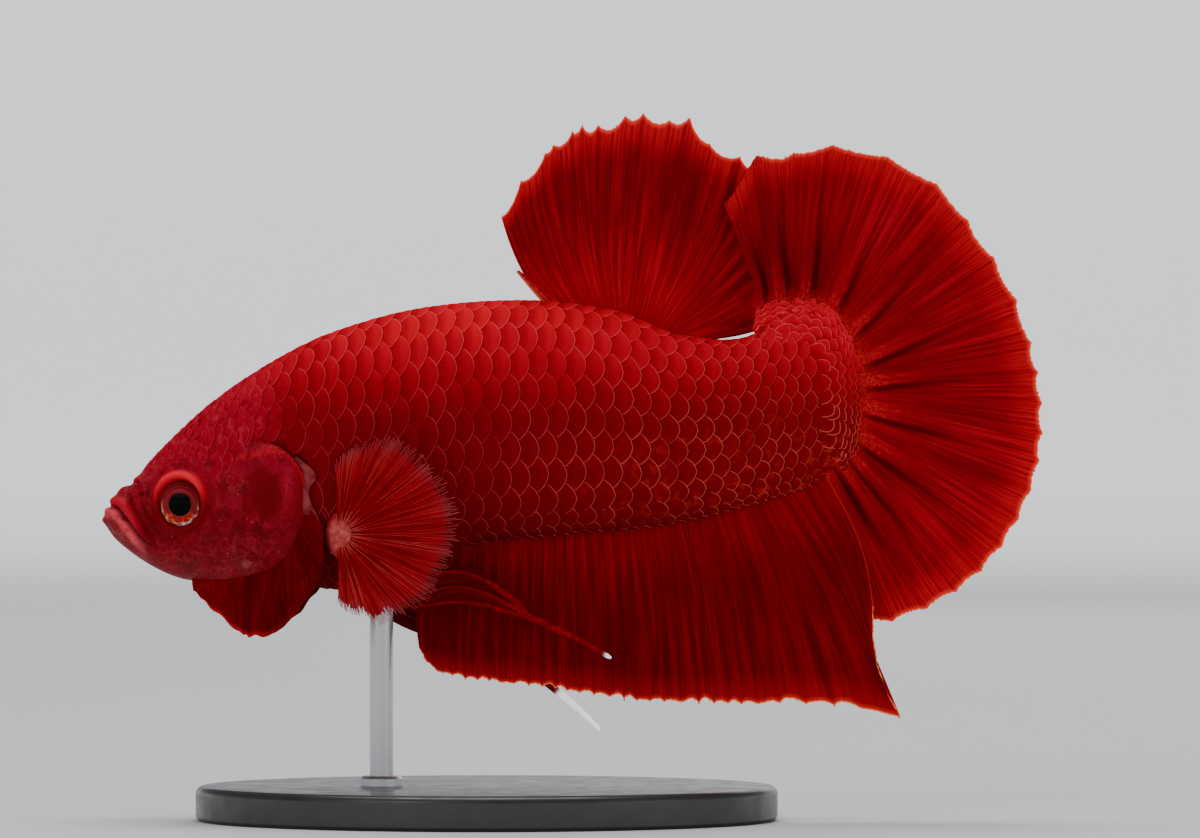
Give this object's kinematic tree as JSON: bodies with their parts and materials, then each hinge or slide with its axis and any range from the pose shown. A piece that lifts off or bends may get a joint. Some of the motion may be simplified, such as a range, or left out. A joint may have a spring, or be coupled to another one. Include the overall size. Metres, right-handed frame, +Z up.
{
  "type": "betta fish still model on a display stand",
  "caption": "Life-size still model of a red male halfmoon plakat betta fish with spread fins, held by a rod on an oval stand.",
  "frame": {"origin": "under the middle of the whole model, on the underside of the stand's base", "axes": "+Z up; the head points to -X and the tail to +X; the fish's left side faces -Y"},
  "size_m": [0.0598, 0.027, 0.0451],
  "materials": {
    "fish_skin": "moist scaly skin, crimson above and paler below the jaw",
    "fin_membrane": "thin ribbed membrane, red with orange margins and pale ray tips",
    "eye": "clear wet dome over a black pupil and a red and silver iris",
    "stand_black": "satin black paint on steel plate",
    "stand_steel": "fine brushed"
  },
  "bodies": {
    "root": {"head": "fish_skin", "upper_jaw": "fish_skin", "lower_jaw": "fish_skin", "gill_cover_left": "fish_skin", "gill_cover_right": "fish_skin", "trunk": "fish_skin", "tail_stalk": "fish_skin", "gill_membrane_left": "fin_membrane", "gill_membrane_right": "fin_membrane", "dorsal_fin": "fin_membrane", "caudal_fin": "fin_membrane", "anal_fin": "fin_membrane", "pectoral_fin_left": "fin_membrane", "pectoral_fin_right": "fin_membrane", "pelvic_fin_left": "fin_membrane", "pelvic_fin_right": "fin_membrane", "eye_left": "eye", "eye_right": "eye", "stand_base": "stand_black", "stand_rod": "stand_steel"}
  },
  "joints": []
}
